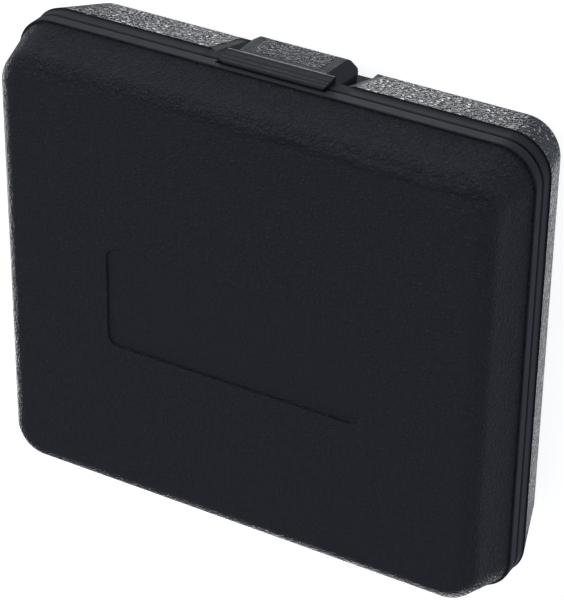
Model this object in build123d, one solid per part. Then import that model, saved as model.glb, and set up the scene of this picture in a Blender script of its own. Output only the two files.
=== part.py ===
from build123d import *
import os

# Small moulded tool case lying on its base.
# +Z up, z = 0 the flat underside, lid on top, latch on the -Y side, hinges on the +Y side.
# All sizes in millimetres.

case_w = 240.0        # rim, X
case_d = 210.4        # rim, Y
rim_corner_r = 17.0
seam_z = 40.6         # parting plane between base and lid
seam_gap = 0.9
edge_r = 0.7           # rounding of the rim edges
skin = 2.0            # outer skin
rim_t = 4.0           # thickness of the rim walls
liner_t = 1.6         # inner skins
seat_t = 2.0          # width of the seat each liner lies on

# base profile
flange_h = 6.4
wall_proud = 0.54
base_draft_y = 0.251
base_draft_x = 0.308
base_round = 13.0

# lid profile
strip_h = 5.7
strip_step = 1.0
lid_h = 31.5
lid_draft = 0.2245
lid_round = 8.5
panel_w, panel_d, panel_deep, panel_r = 121.4, 47.9, 0.7, 5.0
panel_x, panel_y = 0.7, 1.65

# latch
latch_half = 26.0
lip_half = 24.8
lip_reach = 2.9        # lip's end, above the seam
latch_proud = 2.3
latch_clear = 0.3
notch_floor_in = 12.6
notch_half_floor = 27.4
pin_in = 8.6           # latch pin, inwards of the rim plane
pin_down = 19.6        # latch pin, below the seam
latch_pin_r = 1.25
running = 0.05

# hinges
hinge_x = 70.0
hinge_out = 3.8        # axis, outwards of the rim plane
knuckle_r = 3.4
knuckle_outer = 12.0
knuckle_mid = 21.2
knuckle_gap = 0.4
hinge_pin_r = 1.5

# tool bays of the base liner: x0, x1, y0, y1 at the mouth
bays = {"back": (-98, 98, 18, 86), "front_left": (-98, 22, -86, 10), "front_right": (30, 98, -86, 10)}
bay_floor_z = 6.0
bay_draft = 0.05

front_y = -case_d / 2
back_y = case_d / 2
base_top = seam_z - seam_gap / 2
lid_bottom = seam_z + seam_gap / 2
lid_top = seam_z + lid_h


def rr(w, d, r, z, x=0.0, y=0.0):
    return Plane.XY.offset(z) * Pos(x, y) * RectangleRounded(w, d, r)


def slab(w, d, r, z0, z1, x=0.0, y=0.0):
    return extrude(rr(w, d, r, z0, x, y), z1 - z0)


def block(x0, x1, y0, y1, z0, z1):
    return Pos((x0 + x1) / 2, (y0 + y1) / 2, (z0 + z1) / 2) * Box(x1 - x0, y1 - y0, z1 - z0)


def rod(x0, x1, y, z, r):
    return Pos((x0 + x1) / 2, y, z) * Rot(0, 90, 0) * Cylinder(r, x1 - x0)


def round_end(solid, z, r):
    edges = solid.edges().filter_by(lambda e: abs(e.bounding_box().min.Z - z) < 1e-3 and abs(e.bounding_box().max.Z - z) < 1e-3)
    return fillet(edges, r)


# ---------------------------------------------------------------- base shell
flange_z = seam_z - flange_h
bi_x = base_draft_x * flange_z - wall_proud
bi_y = base_draft_y * flange_z - wall_proud
base_outer = loft([rr(case_w - 2 * bi_x, case_d - 2 * bi_y, 16.0, 0), rr(case_w + 2 * wall_proud, case_d + 2 * wall_proud, rim_corner_r + wall_proud, flange_z)], ruled=True)
base_outer = round_end(base_outer, 0, base_round)
base_inner = loft([rr(case_w - 2 * (bi_x + skin - 0.6), case_d - 2 * (bi_y + skin - 0.5), 14.5, skin), rr(case_w + 2 * (wall_proud - skin), case_d + 2 * (wall_proud - skin), rim_corner_r + wall_proud - skin, flange_z - 0.01)], ruled=True)
base_inner = round_end(base_inner, skin, base_round - 1.5)
flange = slab(case_w, case_d, rim_corner_r, flange_z - 0.02, base_top)
flange = round_end(flange, base_top, edge_r)
base = base_outer + flange
base -= base_inner
base -= slab(case_w - 2 * rim_t, case_d - 2 * rim_t, rim_corner_r - rim_t, flange_z - 2.5, base_top + 1)
base -= slab(case_w - 2 * seat_t, case_d - 2 * seat_t, rim_corner_r - seat_t, 38.0, base_top + 1)
# housing behind the latch, with the latch's notch cut in it
notch_y = front_y + notch_floor_in
housing = block(-37, 37, front_y - 1.0, notch_y + skin, 0, flange_z) & base_outer
housing += block(-37, 37, front_y + 2.0, notch_y + skin, flange_z - 0.5, flange_z + skin)
base += housing


def notch_plan(z):
    # end caps roll over into the drafted wall: distances below are from the wall's own surface at this height
    wall = front_y + base_draft_y * (flange_z - z) - wall_proud
    side = [(0.0, 5.5), (0.5, 3.4), (1.5, 1.8), (3.2, 0.7), (5.7, 0.12), (9.0, -0.4)]
    r = [(notch_half_floor + dx, wall + d) for dx, d in side]
    pts = [(notch_half_floor, notch_y)] + r + [(notch_half_floor + 9.0, front_y - 4)]
    pts = pts + [(-x, y) for x, y in reversed(pts)]
    return Plane.XY.offset(z) * make_face(Polyline(*pts, close=True))


notch = loft([notch_plan(10.0), notch_plan(flange_z)], ruled=True) + extrude(notch_plan(10.0), -11.0)
base -= notch
pin_y = front_y + pin_in
pin_z = seam_z - pin_down
base -= rod(-38, 38, pin_y, pin_z, latch_pin_r + running)
# hinge knuckles of the base
hinge_y = back_y + hinge_out
for s in (-1, 1):
    for a in (-1, 1):
        c = s * hinge_x + a * (knuckle_mid / 2 + knuckle_gap + knuckle_outer / 2)
        base += rod(c - knuckle_outer / 2, c + knuckle_outer / 2, hinge_y, seam_z, knuckle_r)
        base += block(c - knuckle_outer / 2, c + knuckle_outer / 2, back_y - 1.0, hinge_y, seam_z - knuckle_r, base_top)
        base -= rod(c - knuckle_outer / 2 - 0.1, c + knuckle_outer / 2 + 0.1, hinge_y, seam_z, hinge_pin_r + running)
base_shell = base

# ---------------------------------------------------------------- base liner
tray = slab(case_w - 2 * seat_t - 0.6, case_d - 2 * seat_t - 0.6, rim_corner_r - seat_t - 0.3, 38.0, 38.0 + liner_t)
land_z = 38.0 + liner_t


def bay(b, grow, z0, z1, r_corner, r_floor):
    x0, x1, y0, y1 = b
    h = z1 - z0
    d = bay_draft * h
    cx, cy = (x0 + x1) / 2, (y0 + y1) / 2
    w, dd = x1 - x0 + 2 * grow, y1 - y0 + 2 * grow
    s = loft([rr(w - 2 * d, dd - 2 * d, r_corner - 1, z0, cx, cy), rr(w, dd, r_corner, z1, cx, cy)], ruled=True)
    return round_end(s, z0, r_floor)


for b in bays.values():
    tray += bay(b, liner_t, bay_floor_z - liner_t, land_z - 0.2, 9.6, 5.6)
for b in bays.values():
    tray -= bay(b, 0.0, bay_floor_z, land_z + 1.0, 8.0, 4.0)
base_inner_tray = tray

# ---------------------------------------------------------------- lid shell
lid_low = seam_z + strip_h
top_in = strip_step + lid_draft * (lid_top - lid_low)
lid_outer = loft([rr(case_w - 2 * strip_step, case_d - 2 * strip_step, rim_corner_r - strip_step + 0.4, lid_low), rr(case_w - 2 * top_in, case_d - 2 * top_in, 15.0, lid_top)], ruled=True)
lid_outer = round_end(lid_outer, lid_top, lid_round)
ci0 = strip_step + skin
ci1 = strip_step + skin + lid_draft * (lid_top - skin - lid_low)
lid_inner = loft([rr(case_w - 2 * ci0, case_d - 2 * ci0, rim_corner_r - ci0 + 0.4, lid_low), rr(case_w - 2 * ci1, case_d - 2 * ci1, 13.2, lid_top - skin)], ruled=True)
lid_inner = round_end(lid_inner, lid_top - skin, lid_round - 1.5)
strip = slab(case_w, case_d, rim_corner_r, lid_bottom, lid_low)
strip = round_end(strip, lid_bottom, edge_r)
strip = round_end(strip, lid_low, 0.45)
lid = lid_outer + strip
lid -= lid_inner
lid -= slab(case_w - 2 * rim_t, case_d - 2 * rim_t, rim_corner_r - rim_t, lid_bottom - 1, lid_low + 0.02)
lid -= slab(case_w - 2 * seat_t, case_d - 2 * seat_t, rim_corner_r - seat_t, lid_bottom - 1, 43.4)
lid -= slab(panel_w, panel_d, panel_r, lid_top - panel_deep, lid_top + 1, panel_x, panel_y)
lid -= block(-lip_half - 0.6, lip_half + 0.6, front_y - 1, front_y + strip_step, seam_z + lip_reach - 1.7, seam_z + lip_reach + 0.3)
for s in (-1, 1):
    c = s * hinge_x
    lid += rod(c - knuckle_mid / 2, c + knuckle_mid / 2, hinge_y, seam_z, knuckle_r)
    lid += block(c - knuckle_mid / 2, c + knuckle_mid / 2, back_y - 1.0, hinge_y, lid_bottom, seam_z + knuckle_r)
    lid -= rod(c - knuckle_mid / 2 - 0.1, c + knuckle_mid / 2 + 0.1, hinge_y, seam_z, hinge_pin_r + running)
lid_shell = lid

# ---------------------------------------------------------------- lid liner and pad
inner = slab(case_w - 2 * seat_t - 0.6, case_d - 2 * seat_t - 0.6, rim_corner_r - seat_t - 0.3, 43.4 - liner_t, 43.4)
inner += slab(212, 182, 12, 43.2, 56.4)
inner -= slab(208.8, 178.8, 10.4, 41.0, 56.4 - liner_t)
lid_inner_panel = inner
lid_foam_pad = fillet(slab(206, 176, 9.5, 43.8, 54.6).edges().filter_by(lambda e: abs(e.bounding_box().max.Z - 43.8) < 1e-3), 2.0)

# ---------------------------------------------------------------- latch
lip_out = front_y - latch_proud
lip_in = front_y - latch_clear
hook_top = seam_z + lip_reach
hook_low = hook_top - 1.2
block_top = flange_z - 0.3
lip_pts = [
    (lip_in, block_top - 0.2), (lip_out, block_top - 0.2), (lip_out, seam_z - 3.0), (lip_out + 0.35, seam_z - 2.8), (lip_out + 0.35, seam_z - 0.4),
    (lip_out + 0.7, seam_z - 0.2), (lip_out + 0.7, hook_top - 0.8), (lip_out + 1.2, hook_top), (front_y + 0.7, hook_top), (front_y + 0.7, hook_low), (lip_in, hook_low),
]
lip = extrude(Plane.YZ.offset(-lip_half) * make_face(Polyline(*lip_pts, close=True)), 2 * lip_half)
lip += rod(-lip_half, lip_half, lip_out + 0.85, flange_z + 0.5, 1.25)
lip_ends = block(-lip_half, lip_half, front_y - 6, front_y + 6, block_top - 2, hook_top + 0.001)
lip_corner = lip_ends.edges().filter_by(Axis.Y).filter_by(lambda e: e.center().Z > seam_z and e.center().X > 0)
lip_ends = fillet(lip_corner, 3.2)
lip_corner = lip_ends.edges().filter_by(Axis.Y).filter_by(lambda e: e.center().Z > seam_z and e.center().X < 0)
lip_ends = fillet(lip_corner, 0.8)
lip = lip & lip_ends
body_pts = [
    (front_y + 9.2, block_top), (front_y - 2.2, block_top), (front_y - 2.1, block_top - 1.0), (front_y - 1.8, pin_z - 4.4), (front_y - 1.0, pin_z - 5.5),
    (front_y + 1.6, pin_z - 5.5), (front_y + 5.0, pin_z - 3.2), (front_y + 10.2, pin_z - 2.9), (front_y + 11.4, pin_z - 1.6), (front_y + 11.4, block_top - 2.5),
]
body = extrude(Plane.YZ.offset(-latch_half) * make_face(Polyline(*body_pts, close=True)), 2 * latch_half)
plan_pts = [(-latch_half, front_y + 12), (latch_half, front_y + 12), (latch_half - 0.4, front_y + 2.2), (latch_half - 7.6, front_y - 2.6), (-latch_half + 6.4, front_y - 2.6), (-latch_half + 0.4, front_y + 2.2)]
plan = extrude(Plane.XY.offset(pin_z - 8) * make_face(Polyline(*plan_pts, close=True)), 40)
plan_edges = plan.edges().filter_by(Axis.Z).filter_by(lambda e: e.center().Y < front_y - 2)
plan = fillet(plan_edges, 4.0)
plan_edges = plan.edges().filter_by(Axis.Z).filter_by(lambda e: abs(e.center().Y - front_y - 2.2) < 1e-3)
plan = fillet(plan_edges, 4.0)
body = body & plan
body -= block(-20, 20, front_y + 0.8, front_y + 13, pin_z - 9, block_top - 2.2)
latch = lip + body
latch -= rod(-30, 30, pin_y, pin_z, latch_pin_r + running)

# ---------------------------------------------------------------- pins
latch_pin = rod(-34, 34, pin_y, pin_z, latch_pin_r)
half_pin = knuckle_mid / 2 + knuckle_gap + knuckle_outer + 0.8
hinge_pin_left = rod(-hinge_x - half_pin, -hinge_x + half_pin, hinge_y, seam_z, hinge_pin_r)
hinge_pin_right = rod(hinge_x - half_pin, hinge_x + half_pin, hinge_y, seam_z, hinge_pin_r)

# ---------------------------------------------------------------- output
os.makedirs("parts", exist_ok=True)
nodes = {
    "base_shell": base_shell, "base_inner_tray": base_inner_tray, "lid_shell": lid_shell, "lid_inner_panel": lid_inner_panel,
    "lid_foam_pad": lid_foam_pad, "latch": latch, "latch_pin": latch_pin, "hinge_pin_left": hinge_pin_left, "hinge_pin_right": hinge_pin_right,
}
for name, shape in nodes.items():
    solids = shape.solids()
    export_step(solids[0] if len(solids) == 1 else Compound(children=solids), f"parts/{name}.step")
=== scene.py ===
import math

import bpy
from mathutils import Matrix, Vector


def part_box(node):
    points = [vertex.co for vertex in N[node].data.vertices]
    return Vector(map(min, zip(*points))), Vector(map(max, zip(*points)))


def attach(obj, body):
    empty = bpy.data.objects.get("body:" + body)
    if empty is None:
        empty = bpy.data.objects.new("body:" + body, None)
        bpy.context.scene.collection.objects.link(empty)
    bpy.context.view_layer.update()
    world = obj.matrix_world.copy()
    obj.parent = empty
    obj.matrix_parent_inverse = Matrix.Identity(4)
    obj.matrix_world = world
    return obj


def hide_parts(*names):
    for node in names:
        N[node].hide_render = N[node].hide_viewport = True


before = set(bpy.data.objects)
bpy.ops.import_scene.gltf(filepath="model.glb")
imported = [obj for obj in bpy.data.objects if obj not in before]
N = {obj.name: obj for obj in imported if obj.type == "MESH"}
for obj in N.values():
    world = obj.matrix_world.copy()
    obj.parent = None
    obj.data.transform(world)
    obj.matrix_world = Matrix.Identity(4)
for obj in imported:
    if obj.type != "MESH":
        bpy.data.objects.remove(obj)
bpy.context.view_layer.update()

MM = 0.001
SEAM = 40.6

# ------------------------------------------------------------------ camera
right = Vector((-0.86487115, -0.0116217, -0.50185937))
up = Vector((0.27171224, -0.85146367, -0.44853325))
back = Vector((-0.4221023, -0.5242848, 0.73956412))
up = (up - right * up.dot(right) / right.dot(right)).normalized()
right = right.normalized()
back = right.cross(up).normalized()
cam_data = bpy.data.cameras.new("camera")
cam_data.sensor_fit = "AUTO"
cam_data.sensor_width = 36.0
cam_data.lens = 158.70
cam_data.clip_start = 0.05
cam_data.clip_end = 20.0
cam = bpy.data.objects.new("camera", cam_data)
bpy.context.scene.collection.objects.link(cam)
m = Matrix((right, up, back)).transposed().to_4x4()
m.translation = Vector((-472.746, -581.539, 859.317)) * MM
cam.matrix_world = m
bpy.context.scene.camera = cam
bpy.context.scene.view_settings.view_transform = "Standard"
bpy.context.scene.view_settings.look = "None"


# ------------------------------------------------------------------ node helpers
class Mat:
    def __init__(self, name, color, rough, spec=0.5):
        self.m = bpy.data.materials.new(name)
        self.m.use_nodes = True
        self.t = self.m.node_tree
        self.t.nodes.clear()
        self.out = self.t.nodes.new("ShaderNodeOutputMaterial")
        self.b = self.t.nodes.new("ShaderNodeBsdfPrincipled")
        self.t.links.new(self.b.outputs[0], self.out.inputs[0])
        self.b.inputs["Base Color"].default_value = (*color, 1)
        self.b.inputs["Roughness"].default_value = rough
        self.b.inputs["Specular IOR Level"].default_value = spec
        tc = self.t.nodes.new("ShaderNodeTexCoord")
        s = self.t.nodes.new("ShaderNodeVectorMath")
        s.operation = "SCALE"
        s.inputs["Scale"].default_value = 1000.0
        self.t.links.new(tc.outputs["Object"], s.inputs[0])
        self.mm = s.outputs[0]  # the part's own coordinates in millimetres
        sep = self.t.nodes.new("ShaderNodeSeparateXYZ")
        self.t.links.new(self.mm, sep.inputs[0])
        self.x, self.y, self.z = sep.outputs

    def link(self, a, b):
        if isinstance(a, (int, float)):
            b.default_value = a
        else:
            self.t.links.new(a, b)

    def math(self, op, a, b=0.0, c=0.0, clamp=False):
        n = self.t.nodes.new("ShaderNodeMath")
        n.operation = op
        n.use_clamp = clamp
        self.link(a, n.inputs[0])
        self.link(b, n.inputs[1])
        self.link(c, n.inputs[2])
        return n.outputs[0]

    def ramp(self, v, lo, hi, a=0.0, b=1.0, smooth=True):
        n = self.t.nodes.new("ShaderNodeMapRange")
        n.interpolation_type = "SMOOTHSTEP" if smooth else "LINEAR"
        self.link(v, n.inputs["Value"])
        n.inputs["From Min"].default_value = lo
        n.inputs["From Max"].default_value = hi
        n.inputs["To Min"].default_value = a
        n.inputs["To Max"].default_value = b
        return n.outputs[0]

    def noise(self, scale, detail=2.0, rough=0.5, vec=None, out=0):
        n = self.t.nodes.new("ShaderNodeTexNoise")
        n.inputs["Scale"].default_value = scale
        n.inputs["Detail"].default_value = detail
        n.inputs["Roughness"].default_value = rough
        self.t.links.new(vec or self.mm, n.inputs["Vector"])
        return n.outputs[out]

    def warp(self, scale, amount, vec=None):
        src = vec or self.mm
        c = self.noise(scale, 2.0, 0.5, src, 1)
        a = self.t.nodes.new("ShaderNodeVectorMath")
        a.operation = "SUBTRACT"
        self.t.links.new(c, a.inputs[0])
        a.inputs[1].default_value = (0.5, 0.5, 0.5)
        k = self.t.nodes.new("ShaderNodeVectorMath")
        k.operation = "SCALE"
        k.inputs["Scale"].default_value = amount
        self.t.links.new(a.outputs[0], k.inputs[0])
        s = self.t.nodes.new("ShaderNodeVectorMath")
        s.operation = "ADD"
        self.t.links.new(src, s.inputs[0])
        self.t.links.new(k.outputs[0], s.inputs[1])
        return s.outputs[0]

    def cells(self, pitch, vec, feature="DISTANCE_TO_EDGE", rand=1.0):
        n = self.t.nodes.new("ShaderNodeTexVoronoi")
        n.feature = feature
        n.inputs["Scale"].default_value = 1.0 / pitch
        n.inputs["Randomness"].default_value = rand
        self.t.links.new(vec, n.inputs["Vector"])
        return n.outputs["Distance"]

    def mul(self, a, b):
        return self.math("MULTIPLY", a, b)

    def add(self, a, b):
        return self.math("ADD", a, b)

    def mix(self, f, a, b):
        n = self.t.nodes.new("ShaderNodeMix")
        n.data_type = "FLOAT"
        self.link(f, n.inputs[0])
        self.link(a, n.inputs[2])
        self.link(b, n.inputs[3])
        return n.outputs[0]

    def color(self, f, a, b):
        n = self.t.nodes.new("ShaderNodeMix")
        n.data_type = "RGBA"
        self.link(f, n.inputs[0])
        n.inputs[6].default_value = (*a, 1)
        n.inputs[7].default_value = (*b, 1)
        self.t.links.new(n.outputs[2], self.b.inputs["Base Color"])
        return n

    def bump(self, height_mm, strength=1.0, edge=0.35):
        # height in millimetres; edge is the radius that moulded corners have
        n = self.t.nodes.new("ShaderNodeBump")
        n.inputs["Strength"].default_value = strength
        n.inputs["Distance"].default_value = 0.001
        self.link(height_mm, n.inputs["Height"])
        if edge:
            e = self.t.nodes.new("ShaderNodeBevel")
            e.samples = 4
            e.inputs["Radius"].default_value = edge * MM
            self.t.links.new(e.outputs[0], n.inputs["Normal"])
        self.t.links.new(n.outputs[0], self.b.inputs["Normal"])


def box_mask(M, x0, x1, y0, y1, soft=0.4):
    a = M.ramp(M.x, x0 - soft, x0 + soft)
    b = M.ramp(M.x, x1 - soft, x1 + soft, 1.0, 0.0)
    c = M.ramp(M.y, y0 - soft, y0 + soft)
    d = M.ramp(M.y, y1 - soft, y1 + soft, 1.0, 0.0)
    return M.mul(M.mul(a, b), M.mul(c, d))


def grain(M, pitch, groove, warp_amount=0.9):
    """Moulded leather grain: pebbles of uneven size, run together in places and cut by short wandering creases."""
    w = M.warp(0.5 / pitch, warp_amount * pitch)
    e = M.cells(pitch, w)
    peb = M.ramp(e, 0.0, groove)
    n = M.noise(0.42 / pitch, 1.0, 0.5, w)
    crease = M.ramp(M.math("ABSOLUTE", M.math("SUBTRACT", n, 0.5)), 0.005, 0.05)
    return M.mul(M.add(M.mul(peb, 0.65), 0.35), M.add(M.mul(crease, 0.65), 0.35))


# ------------------------------------------------------------------ base shell: coarse grain below a smooth flange
B = Mat("base_plastic", (0.010, 0.0115, 0.0155), 0.36)
g = grain(B, 2.7, 0.30)
fine = B.noise(1.1, 1.0, 0.5)
patch = B.noise(0.05, 3.0, 0.55)
grainy = B.ramp(B.z, 33.75, 34.15, 1.0, 0.0)
caps = B.mul(B.ramp(B.math("ABSOLUTE", B.x), 33.0, 34.5), 1.0)
caps = B.math("MAXIMUM", caps, B.ramp(B.y, -90.0, -88.0))
grainy = B.mul(grainy, caps)
h = B.mul(B.add(B.mul(g, 2.7), B.mul(fine, 0.05)), grainy)
wave = B.noise(0.045, 2.0, 0.5)
h = B.add(h, B.mul(wave, 0.35))
h = B.add(h, B.mul(B.noise(5.0, 2.0, 0.6), 0.008))
B.bump(h)
plain = B.mix(caps, 0.60, 0.42)
B.t.links.new(B.add(B.mix(grainy, plain, B.add(B.mul(g, -0.12), 0.34)), B.mul(patch, 0.06)), B.b.inputs["Roughness"])
B.color(B.mul(B.add(B.mul(g, 0.7), B.mul(patch, 0.3)), grainy), (0.0045, 0.0055, 0.0085), (0.0165, 0.0185, 0.0240))

# ------------------------------------------------------------------ lid shell: finer, flatter grain, smooth rim strip, smoother sunk panel
L = Mat("lid_plastic", (0.008, 0.0098, 0.0150), 0.40)
gl = grain(L, 1.9, 0.34)
fine = L.noise(3.2, 3.0, 0.6)
panel = L.mul(box_mask(L, -60.2, 61.6, -22.5, 25.8), L.ramp(L.z, 71.0, 71.6))
strip = L.ramp(L.z, SEAM + 5.5, SEAM + 6.1)
face = L.ramp(L.z, 68.5, 71.5)
amount = L.mul(L.mul(strip, L.mix(face, 1.2, 0.5)), L.mix(panel, 1.0, 0.42))
h = L.mul(L.add(gl, L.mul(fine, 0.35)), amount)
wave = L.noise(0.04, 2.0, 0.5)
rip = L.noise(0.11, 2.0, 0.55, L.warp(0.03, 14.0))
h = L.add(h, L.add(L.mul(wave, 0.45), L.mul(L.mul(rip, L.ramp(L.z, 58.0, 66.0)), L.mul(L.ramp(L.z, 70.5, 72.0, 1.0, 0.15), 1.25))))
# the moulded skin is puckered at one shoulder corner
off = L.add(L.math("POWER", L.add(L.x, 106.0), 2.0), L.math("POWER", L.add(L.y, 90.0), 2.0))
pucker = L.mul(L.noise(0.13, 2.0, 0.5, L.warp(0.05, 8.0)), L.ramp(off, 20.0, 520.0, 1.0, 0.0))
h = L.add(h, L.mul(L.mul(pucker, strip), 4.2))
# and pinched into a soft wandering ridge along the latch-side shoulder
line = L.add(L.add(L.y, 95.5), L.mul(L.add(L.noise(0.05, 2.0, 0.5), -0.5), 11.0))
pinch = L.mul(L.ramp(L.math("ABSOLUTE", line), 0.2, 3.6, 1.0, 0.0), L.mul(L.ramp(L.x, 5.0, 45.0, 1.0, 0.0), L.ramp(L.z, 59.0, 65.0)))
h = L.add(h, L.mul(pinch, 1.0))
h = L.add(h, L.mul(L.noise(5.0, 2.0, 0.6), 0.006))
L.bump(h)
patch = L.noise(0.06, 3.0, 0.55)
L.t.links.new(L.add(L.mix(strip, 0.45, L.add(L.mul(gl, -0.10), 0.47)), L.mul(patch, 0.08)), L.b.inputs["Roughness"])
L.color(L.mul(L.add(L.mul(gl, 0.6), L.mul(patch, 0.4)), strip), (0.0068, 0.0085, 0.0135), (0.0105, 0.0128, 0.0195))

# ------------------------------------------------------------------ latch: grained top inside smooth margins
T = Mat("latch_plastic", (0.010, 0.0118, 0.0165), 0.34)
gt = grain(T, 1.7, 0.28)
ax = T.math("ABSOLUTE", T.x)
mask = T.mul(T.ramp(ax, 15.6, 16.4, 1.0, 0.0), T.mul(T.ramp(T.z, 16.4, 17.2), T.ramp(T.z, 30.2, 31.0, 1.0, 0.0)))
h = T.mul(T.mul(gt, 0.4), mask)
h = T.add(h, T.mul(T.noise(4.0, 3.0, 0.6), 0.012))
h = T.add(h, T.mul(T.noise(0.12, 2.0, 0.5), 0.12))
T.bump(h, edge=0.5)
T.t.links.new(T.mix(mask, T.add(T.mul(T.noise(0.3, 2.0, 0.5), 0.12), 0.27), T.add(T.mul(gt, -0.1), 0.44)), T.b.inputs["Roughness"])
T.color(T.mul(gt, mask), (0.0085, 0.0100, 0.0145), (0.0130, 0.0150, 0.0205))

# ------------------------------------------------------------------ inner skins
I = Mat("liner_plastic", (0.012, 0.0135, 0.0175), 0.45)
gi = grain(I, 1.0, 0.3)
h = I.add(I.mul(gi, 0.09), I.mul(I.noise(0.05, 2.0, 0.5), 0.5))
h = I.add(h, I.mul(I.noise(3.0, 3.0, 0.6), 0.02))
I.bump(h, edge=0.5)
pt = I.noise(0.03, 3.0, 0.6)
I.t.links.new(I.add(I.mul(gi, -0.08), I.add(I.mul(pt, 0.14), 0.42)), I.b.inputs["Roughness"])
I.color(I.add(I.mul(gi, 0.5), I.mul(pt, 0.5)), (0.0085, 0.0098, 0.0130), (0.0175, 0.0192, 0.0240))

# ------------------------------------------------------------------ steel wire pins
S = Mat("pin_steel", (0.46, 0.46, 0.45), 0.32)
S.b.inputs["Metallic"].default_value = 1.0
st = S.t.nodes.new("ShaderNodeMapping")
st.inputs["Scale"].default_value = (0.05, 6.0, 6.0)
S.t.links.new(S.mm, st.inputs["Vector"])
draw = S.noise(1.0, 3.0, 0.6, st.outputs[0])
S.bump(S.mul(draw, 0.02), edge=0.2)
S.t.links.new(S.add(S.mul(draw, 0.2), 0.22), S.b.inputs["Roughness"])
S.color(S.noise(0.4, 3.0, 0.6), (0.36, 0.36, 0.35), (0.55, 0.55, 0.54))

# ------------------------------------------------------------------ open-cell foam
F = Mat("foam", (0.022, 0.0225, 0.0245), 0.95, 0.25)
pores = F.ramp(F.cells(0.7, F.warp(1.2, 0.3)), 0.0, 0.4)
F.bump(F.add(F.mul(pores, 0.25), F.mul(F.noise(0.25, 3.0, 0.6), 0.5)), edge=0)
F.t.links.new(F.add(F.mul(pores, -0.08), 0.98), F.b.inputs["Roughness"])
F.color(F.add(F.mul(pores, 0.7), F.mul(F.noise(0.1, 3.0, 0.6), 0.3)), (0.010, 0.0105, 0.0115), (0.034, 0.0345, 0.037))
F.b.inputs["Sheen Weight"].default_value = 0.25


def finish_node(name, mat):
    o = N[name]
    o.data.materials.clear()
    o.data.materials.append(mat.m)


for name, mat in (
    ("base_shell", B), ("lid_shell", L), ("latch", T), ("base_inner_tray", I), ("lid_inner_panel", I),
    ("latch_pin", S), ("hinge_pin_left", S), ("hinge_pin_right", S),
):
    finish_node(name, mat)

# ------------------------------------------------------------------ foam pad in the lid: convoluted face, soft edges
lo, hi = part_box("lid_foam_pad")
lo, hi = Vector(lo) * 1000, Vector(hi) * 1000
hx, hy = (hi.x - lo.x) / 2 - 0.3, (hi.y - lo.y) / 2 - 0.3
cx, cy = (hi.x + lo.x) / 2, (hi.y + lo.y) / 2
z_low, z_top = lo.z + 0.1, hi.z - 0.1


def ring(inset, n_side=44, n_corner=9):
    r = max(9.2 - inset, 0.6)
    ax_, ay_ = hx - inset, hy - inset
    pts = []
    for sx, sy, a0 in ((1, 1, 0), (-1, 1, 90), (-1, -1, 180), (1, -1, 270)):
        ccx, ccy = sx * (ax_ - r), sy * (ay_ - r)
        arc = [(ccx + r * math.cos(math.radians(a0 + 90 * i / (n_corner - 1))), ccy + r * math.sin(math.radians(a0 + 90 * i / (n_corner - 1)))) for i in range(n_corner)]
        pts += arc
        nx = {0: (-1, 1), 90: (-1, -1), 180: (1, -1), 270: (1, 1)}[a0]
        end = arc[-1]
        na0 = (a0 + 90) % 360
        ncx, ncy = nx[0] * (ax_ - r), nx[1] * (ay_ - r)
        start = (ncx + r * math.cos(math.radians(na0)), ncy + r * math.sin(math.radians(na0)))
        for i in range(1, n_side):
            t = i / n_side
            pts.append((end[0] + (start[0] - end[0]) * t, end[1] + (start[1] - end[1]) * t))
    return pts


def low_z(x, y, d):
    # rounded peaks on a 21 mm pitch, crushed a little unevenly
    s = 0.5 + 0.5 * math.cos(math.pi * x / 10.5) * math.cos(math.pi * y / 10.5)
    rise = 4.4 * (1 - s) ** 1.3 + 0.35 * math.sin(x * 0.047 + 1.3) * math.sin(y * 0.061 + 0.4) + 0.35
    e = 3.2 * math.exp(-d / 1.4)
    return z_low + max(rise, 0.0) * (1 - math.exp(-d / 2.0)) + e


verts, faces, rings = [], [], []
steps = [0.0, 0.35, 0.9, 1.7] + [2.8 + 1.55 * i for i in range(int((hy - 4) / 1.55))]
for d in steps:
    base = len(verts)
    for x, y in ring(d):
        verts.append(((cx + x) * MM, (cy + y) * MM, low_z(x, y, d) * MM))
    rings.append(base)
n = len(ring(0))
for a, b in zip(rings, rings[1:]):
    faces += [(a + i, a + (i + 1) % n, b + (i + 1) % n, b + i) for i in range(n)]
c = len(verts)
verts.append((cx * MM, cy * MM, (z_low + 1.5) * MM))
faces += [(rings[-1] + i, rings[-1] + (i + 1) % n, c) for i in range(n)]
sides = [(0.0, z_low + 5.5), (0.0, z_top - 1.2), (0.5, z_top - 0.3), (1.4, z_top)]
prev = rings[0]
for d, z in sides:
    base = len(verts)
    verts += [((cx + x) * MM, (cy + y) * MM, z * MM) for x, y in ring(d)]
    faces += [(base + i, base + (i + 1) % n, prev + (i + 1) % n, prev + i) for i in range(n)]
    prev = base
c = len(verts)
verts.append((cx * MM, cy * MM, z_top * MM))
faces += [(prev + (i + 1) % n, prev + i, c) for i in range(n)]
me = bpy.data.meshes.new("foam_pad")
me.from_pydata(verts, [], [tuple(reversed(f)) for f in faces])
me.validate()
me.update()
for p in me.polygons:
    p.use_smooth = True
foam = bpy.data.objects.new("foam_pad", me)
bpy.context.scene.collection.objects.link(foam)
foam.data.materials.append(F.m)
import bmesh
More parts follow.
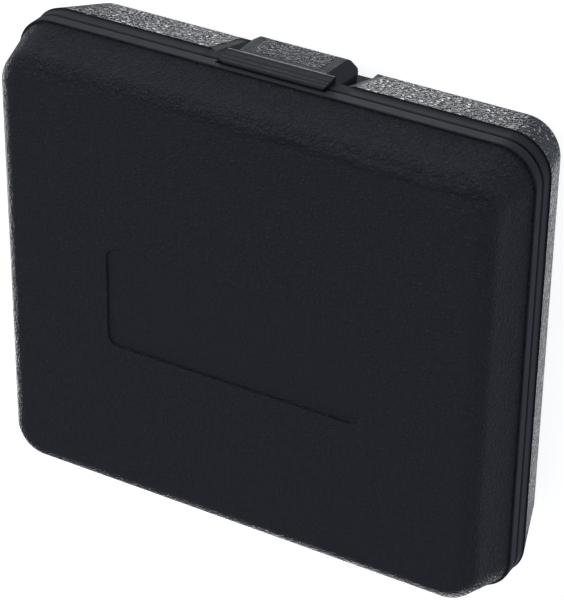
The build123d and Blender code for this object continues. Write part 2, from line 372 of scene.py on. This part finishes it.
bm = bmesh.new()
bm.from_mesh(me)
bmesh.ops.recalc_face_normals(bm, faces=bm.faces)
bm.to_mesh(me)
bm.free()
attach(foam, "lid")
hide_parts("lid_foam_pad")

# ------------------------------------------------------------------ floor and light
bpy.ops.mesh.primitive_plane_add(size=12.0, location=(0, 0, -0.0004))
floor = bpy.context.object
floor.name = "floor"
fm = Mat("floor_white", (0.86, 0.86, 0.86), 0.75, 0.2)
fm.t.links.new(fm.add(fm.mul(fm.noise(0.02, 3.0, 0.5), 0.1), 0.7), fm.b.inputs["Roughness"])
fm.b.inputs["Emission Color"].default_value = (1, 1, 1, 1)
fm.b.inputs["Emission Strength"].default_value = 0.85
floor.data.materials.append(fm.m)

world = bpy.context.scene.world or bpy.data.worlds.new("world")
bpy.context.scene.world = world
world.use_nodes = True
bg = world.node_tree.nodes.get("Background") or world.node_tree.nodes.new("ShaderNodeBackground")
bg.inputs[0].default_value = (0.87, 0.95, 1.10, 1)
bg.inputs[1].default_value = 0.30


def area(name, where, size, power, color=(1, 1, 1), target=(0, 0, 0.03)):
    d = bpy.data.lights.new(name, "AREA")
    d.shape = "RECTANGLE"
    d.size, d.size_y = size
    d.energy = power
    d.color = color
    o = bpy.data.objects.new(name, d)
    bpy.context.scene.collection.objects.link(o)
    p = Vector(where)
    o.location = p
    o.rotation_euler = (Vector(target) - p).to_track_quat("-Z", "Y").to_euler()
    return o


# the lit table stays out of reflections, so the walls mirror the soft boxes set behind and below them
floor.visible_glossy = False
floor.visible_shadow = False
area("behind_a", (0.59, -0.17, -1.26), (0.42, 0.42), 2.3)
area("behind_b", (0.10, 0.73, -1.19), (0.42, 0.42), 0.6)
area("behind_c", (1.14, 0.53, -0.30), (0.7, 0.4), 8.0)
area("behind_d", (0.20, 1.25, -0.33), (0.7, 0.4), 8.0)
area("low_front", (0.7, -1.5, -0.7), (1.4, 0.5), 3.4, (0.93, 0.96, 1.0))
area("ridge", (0.75, -1.0, 1.25), (0.8, 0.8), 4.0)
